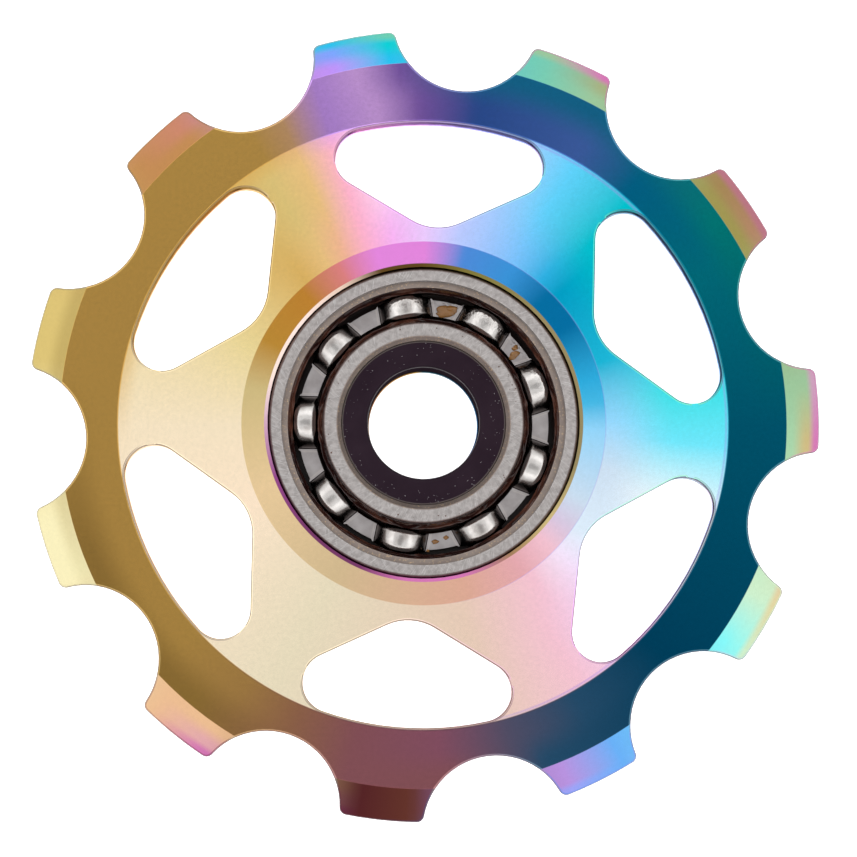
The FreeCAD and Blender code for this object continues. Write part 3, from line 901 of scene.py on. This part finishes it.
sealMesh = turnedMesh("rearSeal", [
    (5.55, 1.43, 0.03), (5.8, 1.43, 0.02), (5.9, 1.47, 0.03), (7.4, 1.47, 0.03), (7.5, 1.43, 0.02),
    (7.89, 1.43, 0.03), (7.89, 1.67, 0.03), (7.5, 1.67, 0.02), (7.4, 1.62, 0.03), (5.95, 1.62, 0.03),
    (5.8, 1.67, 0.02), (5.55, 1.67, 0.03),
])
addPiece("rearSeal", sealMesh, sealRubber, node="rear_seal")


# The ribbon cage: one pitch of the pressed strip, repeated round the axle by a node tree

cage = {
    "domeRadius": 1.4505,
    "bandWidth": 1.18,
    "flatInner": 6.01,
    "flatOuter": 6.90,
    "bendRadius": 0.08,
    "bendReach": 1.5047,
    "bendHeight": 0.28,
    "earReach": 1.5347,
    "earWidth": 0.05,
    "sheet": 0.2,
    "barrelRadius": 4.5,
    "barrelHeight": 0.9,
    "rolledEdge": 0.035,
    "rollStart": 0.36,
    "rollDepth": 0.16,
    "endWidth": 0.82,
    "columns": 17,
    "domeSteps": 14,
    "bendSteps": 4,
    "flatSteps": 3,
    # in metres
    "weld": 0.000005,
}


def stripRows():
    # the strip's upper line over half a dome: (reach round the wheel, height, share of the barrel form)
    domeTurn = atan2(cage["bendReach"], cage["bendHeight"])
    rows = []
    for step in range(cage["domeSteps"] + 1):
        angle = domeTurn * step / cage["domeSteps"]
        height = cage["domeRadius"] * cos(angle)
        rows.append((cage["domeRadius"] * sin(angle), height, min(1.0, height / cage["barrelHeight"])))
    for step in range(1, cage["bendSteps"] + 1):
        angle = domeTurn * (1 - step / cage["bendSteps"])
        reach = cage["bendReach"] - cage["bendRadius"] * sin(angle)
        rows.append((reach, cage["bendHeight"] - cage["bendRadius"] * cos(angle), 0.0))
    rows.append((cage["earReach"], cage["sheet"], 0.0))
    return rows


def stripMesh(name, side):
    # side is 1 for the front half and -1 for the rear half
    pitch = radians(360 / balls["count"])
    halfWidth = cage["bandWidth"] / 2
    vertices, faces = [], []
    half = stripRows()
    rows = [(-reach, height, barrel) for reach, height, barrel in reversed(half[1:])] + half
    for column in range(cage["columns"]):
        # columns crowd towards the strip's two edges, where the domes roll down
        share = 0.5 - 0.5 * cos(pi * column / (cage["columns"] - 1))
        off = cage["bandWidth"] * share - halfWidth
        rolled = max(0.0, (abs(off) - cage["rollStart"]) / (halfWidth - cage["rollStart"]))
        sag = off**2 / (2 * cage["barrelRadius"]) + cage["rollDepth"] * rolled**2
        narrow = cage["flatInner"] + (cage["flatOuter"] - cage["flatInner"]) * share
        edge = asin((cage["earReach"] + cage["earWidth"]) / narrow)
        line = []
        for reach, height, barrel in rows:
            # each dome is an oval from above: the strip is widest at its crown
            swell = sqrt(1 - (1 - cage["endWidth"] ** 2) * (reach / cage["earReach"]) ** 2)
            across = sqrt((balls["circle"] + off * swell) ** 2 - reach**2)
            line.append((across, reach, height - sag * barrel))
        for step in range(cage["flatSteps"] + 1):
            angle = edge + (pitch / 2 - edge) * step / cage["flatSteps"]
            line.append((narrow * cos(angle), narrow * sin(angle), cage["sheet"]))
            line.insert(0, (narrow * cos(angle), -narrow * sin(angle), cage["sheet"]))
        vertices += [(x * mm, y * mm, (wheel["midHeight"] + side * z) * mm) for x, y, z in line]
    for column in range(cage["columns"] - 1):
        for row in range(len(line) - 1):
            corner = column * len(line) + row
            face = (corner, corner + len(line), corner + len(line) + 1, corner + 1)
            faces.append(face if side > 0 else face[::-1])
    return newMesh(name, vertices, faces)


def startTree(name, **kinds):
    # a geometry node tree with an input of the given kind for each name
    tree = bpy.data.node_groups.new(name, "GeometryNodeTree")
    sockets = tree.interface
    sockets.new_socket("geometry", in_out="OUTPUT", socket_type="NodeSocketGeometry")
    keys = {}
    for key, kind in {"geometry": "Geometry", **kinds, "material": "Material"}.items():
        keys[key] = sockets.new_socket(key, in_out="INPUT", socket_type="NodeSocket" + kind).identifier
    return tree, keys, tree.nodes.new("NodeGroupInput").outputs


def copiesOn(tree, points, given, **inputs):
    named = {"Points": points, "Instance": given["geometry"]}
    named.update({key.capitalize(): value for key, value in inputs.items()})
    copies = addNode(tree, "GeometryNodeInstanceOnPoints", named)
    return addNode(tree, "GeometryNodeRealizeInstances", {0: copies})


def finishTree(tree, geometry, given):
    inputs = {"Geometry": geometry, "Material": given["material"]}
    painted = addNode(tree, "GeometryNodeSetMaterial", inputs)
    plug(tree, tree.nodes.new("NodeGroupOutput").inputs[0], painted)


def cageTree():
    tree, keys, given = startTree("cageRound", count="Int", first="Float")
    centres = addNode(tree, "GeometryNodePoints", {"Count": given["count"]})
    pitch = mathNode(tree, "DIVIDE", 2 * pi, given["count"])
    turn = scaled(tree, addNode(tree, "GeometryNodeInputIndex", {}), pitch, given["first"])
    ringOf = copiesOn(tree, centres, given, rotation=combine(tree, 0.0, 0.0, turn))
    welded = addNode(tree, "GeometryNodeMergeByDistance", {"Geometry": ringOf, "Distance": cage["weld"]})
    finishTree(tree, welded, given)
    return tree, keys


def bakeNodes(mesh, name, tree, keys, values):
    seed = bpy.data.objects.new(name + "Seed", mesh)
    bpy.context.scene.collection.objects.link(seed)
    modifier = seed.modifiers.new("nodes", "NODES")
    modifier.node_group = tree
    for key, value in values.items():
        modifier[keys[key]] = value
    evaluated = seed.evaluated_get(bpy.context.evaluated_depsgraph_get())
    result = bpy.data.meshes.new_from_object(evaluated)
    result.name = name
    bpy.data.objects.remove(seed)
    result.shade_smooth()
    return result


cageNodes, cageKeys = cageTree()
values = {"count": balls["count"], "first": radians(balls["first"]), "material": cageSteel}
for name, node, side in (("frontCage", "cage_front", 1), ("rearCage", "cage_rear", -1)):
    strip = bakeNodes(stripMesh(name + "Strip", side), name, cageNodes, cageKeys, values)
    piece = addPiece(name, strip, cageSteel, node=node)
    wall = piece.modifiers.new("sheet", "SOLIDIFY")
    wall.thickness = cage["sheet"] * mm
    wall.offset = -1.0
    rolled = piece.modifiers.new("rolledEdge", "BEVEL")
    rolled.width = cage["rolledEdge"] * mm
    rolled.segments = 3
    rolled.limit_method = "ANGLE"
    rolled.angle_limit = radians(50)
    rolled.harden_normals = False
print("cage made")


# Oil that clings in a hollow curve to the shoulder of each ring, above the balls

oilShape = {
    "steps": 360,
    "rows": 9,
    "foot": 4.70,
    "lip": 4.83,
    "climb": 0.62,
    "hollow": 2.2,
    "wander": 0.014,
}


def waves(around, seed, pairs):
    return sum(sin(count * around + turns * seed) for count, turns in pairs)


def oilFilm(name, wall, lip, body, seed):
    # wall is the shoulder's radius and lip the mean radius that the oil reaches
    steps, rows = oilShape["steps"], oilShape["rows"]
    vertices, faces = [], []
    for step in range(steps):
        around = 2 * pi * step / steps
        wave = waves(around, seed, ((5, 1), (11, 2), (23, 3)))
        ripple = waves(around, seed, ((41, 1), (67, 5)))
        edge = lip + copysign(oilShape["wander"], wall - lip) * (wave + 0.6 * ripple)
        for row in range(rows):
            share = row / (rows - 1)
            climb = (oilShape["climb"] + 0.03 * ripple) * (1 - share) ** oilShape["hollow"]
            height = oilShape["lip"] + climb + 0.02 * wave * share
            vertices.append(ringPoint(wall + (edge - wall) * share, around, height))
        vertices.append(ringPoint(wall, around, oilShape["foot"]))
    for found in ringCorners(steps, rows + 1):
        face = [step * (rows + 1) + row for step, row in found]
        faces.append(face if lip > wall else face[::-1])
    mesh = newMesh(name, vertices, faces)
    mesh.shade_smooth()
    addPiece(name, mesh, filmOil, body=body)


oilFilm("outerOilFilm", outerRing["shoulder"], 7.18, "wheel", 1.3)
oilFilm("innerOilFilm", innerRing["rim"], 5.80, "axle_fixed", 2.1)
print("oil films made")


# The balls, with their facets merged and shaded round

for number in range(balls["count"]):
    node = f"ball_{number + 1}"
    ballMesh = frame["nodes"][node].data.copy()
    shape = bmesh.new()
    shape.from_mesh(ballMesh)
    bmesh.ops.remove_doubles(shape, verts=shape.verts, dist=mergeDistance)
    shape.to_mesh(ballMesh)
    shape.free()
    ballMesh.shade_smooth()
    angle = radians(balls["first"] + number * 360 / balls["count"])
    middle = Vector(ringPoint(balls["circle"], angle, wheel["midHeight"]))
    normals = [(vertex.co - middle).normalized() for vertex in ballMesh.vertices]
    ballMesh.normals_split_custom_set_from_vertices(normals)
    addPiece(f"ball{number + 1}", ballMesh, ballSteel, node=node)
print("balls made")


# Small things lying on the bearing: droplets of oil, dust on the bush and a few smears of grease

def scatterTree():
    # pieces strewn over a flat ring, evenly by area
    tree, keys, given = startTree(
        "scatterOnRing", count="Int", seed="Int", inner="Float", outer="Float", height="Float",
        small="Float", large="Float", flat="Float",
    )
    number = addNode(tree, "GeometryNodeInputIndex", {})

    def chance(offset, low, high):
        inputs = {2: low, 3: high, "ID": number, "Seed": mathNode(tree, "ADD", given["seed"], offset)}
        return addNode(tree, "FunctionNodeRandomValue", inputs, 1, data_type="FLOAT")

    width = mathNode(tree, "SUBTRACT", given["outer"], given["inner"])
    radius = scaled(tree, mathNode(tree, "SQRT", chance(11, 0.0, 1.0)), width, given["inner"])
    turn = times(tree, chance(23, 0.0, 1.0), 2 * pi)
    x, y = (times(tree, radius, mathNode(tree, way, turn)) for way in ("COSINE", "SINE"))
    inputs = {"Count": given["count"], "Position": combine(tree, x, y, given["height"])}
    points = addNode(tree, "GeometryNodePoints", inputs)
    size = chance(37, given["small"], given["large"])
    length = times(tree, size, chance(41, 0.6, 1.3))
    scale = combine(tree, length, size, times(tree, size, given["flat"]))
    spin = combine(tree, 0.0, 0.0, chance(53, 0.0, 2 * pi))
    finishTree(tree, copiesOn(tree, points, given, rotation=spin, scale=scale), given)
    return tree, keys


def bead(name, roundness):
    # a lump of radius one, uneven enough not to look like a ball
    mesh = bpy.data.meshes.new(name)
    shape = bmesh.new()
    bmesh.ops.create_icosphere(shape, subdivisions=roundness, radius=1.0)
    for vertex in shape.verts:
        x, y, z = vertex.co
        vertex.co *= 1.0 + 0.16 * sin(3.1 * x + 1.7 * y) * cos(2.3 * z)
    shape.to_mesh(mesh)
    shape.free()
    return mesh


# in metres, as the node tree takes them
scattered = {
    "bushDust": {
        "count": 130, "seed": 4, "inner": 0.00325, "outer": 0.00440, "height": 0.0059,
        "small": 0.000004, "large": 0.000017, "flat": 0.6,
    },
    "ringOilDrops": {
        "count": 36, "seed": 9, "inner": 0.00500, "outer": 0.00536, "height": 0.0062,
        "small": 0.000012, "large": 0.000045, "flat": 0.3,
    },
    "rimGrit": {
        "count": 240, "seed": 15, "inner": 0.00790, "outer": 0.00830, "height": 0.0062,
        "small": 0.000005, "large": 0.000013, "flat": 0.5,
    },
}

scatterNodes, scatterKeys = scatterTree()
for name, material, body, slot, roundness in (
    ("bushDust", dust, "axle_fixed", "bush_black", 1),
    ("ringOilDrops", oil, "axle_fixed", "bearing_steel", 2),
    ("rimGrit", dust, "wheel", "bearing_steel", 1),
):
    values = dict(scattered[name], material=material)
    mesh = bakeNodes(bead(name + "Bead", roundness), name, scatterNodes, scatterKeys, values)
    addPiece(name, mesh, material, body=body)

# grease drops: radius, degrees, height, long and short half size, and flatness
smears = {
    "drops": [
        (6.34, 78.9, 3.92, 0.50, 0.33, 0.30), (6.58, 76.2, 3.94, 0.34, 0.22, 0.42),
        (6.18, 80.4, 3.93, 0.30, 0.17, 0.40), (6.34, 37.6, 3.93, 0.20, 0.34, 0.30),
        (6.60, 40.0, 3.94, 0.14, 0.20, 0.50), (6.72, 269.8, 3.95, 0.13, 0.10, 0.8),
        (6.48, 275.9, 3.94, 0.20, 0.12, 0.6), (6.34, 281.4, 3.94, 0.15, 0.11, 0.7),
        (6.95, 272.0, 4.3, 0.10, 0.08, 0.9),
    ],
    "lumps": 0.14,
}

dropMesh = bpy.data.meshes.new("greaseDrops")
shape = bmesh.new()
for radius, degrees, height, long, short, flatness in smears["drops"]:
    angle = radians(degrees)
    middle = Vector((radius * cos(angle), radius * sin(angle), height)) * mm
    made = bmesh.ops.create_icosphere(shape, subdivisions=3, radius=1.0)["verts"]
    for vertex in made:
        lump = 1.0 + smears["lumps"] * sin(2.7 * vertex.co.x + 4.1 * vertex.co.y + degrees)
        along = Vector((-sin(angle), cos(angle), 0)) * vertex.co.x * long
        across = Vector((cos(angle), sin(angle), 0)) * vertex.co.y * short
        vertex.co = middle + (along + across + Vector((0, 0, vertex.co.z * short * flatness))) * lump * mm
shape.to_mesh(dropMesh)
shape.free()
dropMesh.shade_smooth()
addPiece("greaseDrops", dropMesh, greaseSkin, body="cage")
print("oil, dust and grease made")


# Floor, light and camera; sizes of the floor and the camera's distance in metres

studio = {
    "floorSize": 1.2,
    "floorGlow": 0.94,
    # the tent's brightness by degrees from straight overhead: a hood round the camera, bright sides
    "tent": [
        (0, 0.5), (10, 0.5), (14, 1.0), (31, 1.0), (35, 1.6), (48, 1.6), (60, 1.0), (77, 1.0), (90, 0.3),
    ],
    "cameraDistance": 0.219,
    "aim": (0.28, -0.25, 4.80),
    "towardsCamera": (-0.012, -0.054, 1.0),
    "lens": 167.7,
    "sensor": 36.0,
}

half = studio["floorSize"] / 2
corners = [(-half, -half, 0), (half, -half, 0), (half, half, 0), (-half, half, 0)]
floorMesh = newMesh("paleFloor", corners, [(0, 1, 2, 3)])
floor = bpy.data.objects.new("paleFloor", floorMesh)
bpy.context.scene.collection.objects.link(floor)
floorMaterial, tree = newMaterial("paleFloorPaint")
plugAll(tree, tree.nodes["Principled BSDF"], {
    "Base Color": (0.9, 0.9, 0.9, 1.0), "Roughness": 0.9, "Specular IOR Level": 0.0,
    "Emission Color": (1.0, 1.0, 1.0, 1.0), "Emission Strength": studio["floorGlow"],
})
floorMesh.materials.append(floorMaterial)

world = bpy.data.worlds.new("softTent")
bpy.context.scene.world = world
world.use_nodes = True
tree = world.node_tree
upwards = split(tree, addNode(tree, "ShaderNodeTexCoord", {}, "Generated"))[2]
fromZenith = mathNode(tree, "DIVIDE", mathNode(tree, "ARCCOSINE", upwards), pi / 2)
stops = [(degrees / 90, (glow, glow, glow, 1.0)) for degrees, glow in studio["tent"]]
plug(tree, tree.nodes["Background"].inputs["Color"], ramp(tree, fromZenith, stops))

cameraData = bpy.data.cameras.new("photoCamera")
camera = bpy.data.objects.new("photoCamera", cameraData)
bpy.context.scene.collection.objects.link(camera)
aim = Vector(studio["aim"]) * mm
back = Vector(studio["towardsCamera"]).normalized()
camera.location = aim + back * studio["cameraDistance"]
right = Vector((0, 1, 0)).cross(back).normalized()
camera.rotation_euler = Matrix((right, back.cross(right), back)).transposed().to_euler()
cameraData.lens = studio["lens"]
cameraData.sensor_width = studio["sensor"]
cameraData.clip_start = 0.01
cameraData.clip_end = 5.0
bpy.context.scene.camera = camera
bpy.context.scene.view_settings.view_transform = "Standard"
bpy.context.scene.view_settings.look = "None"
print("studio made")
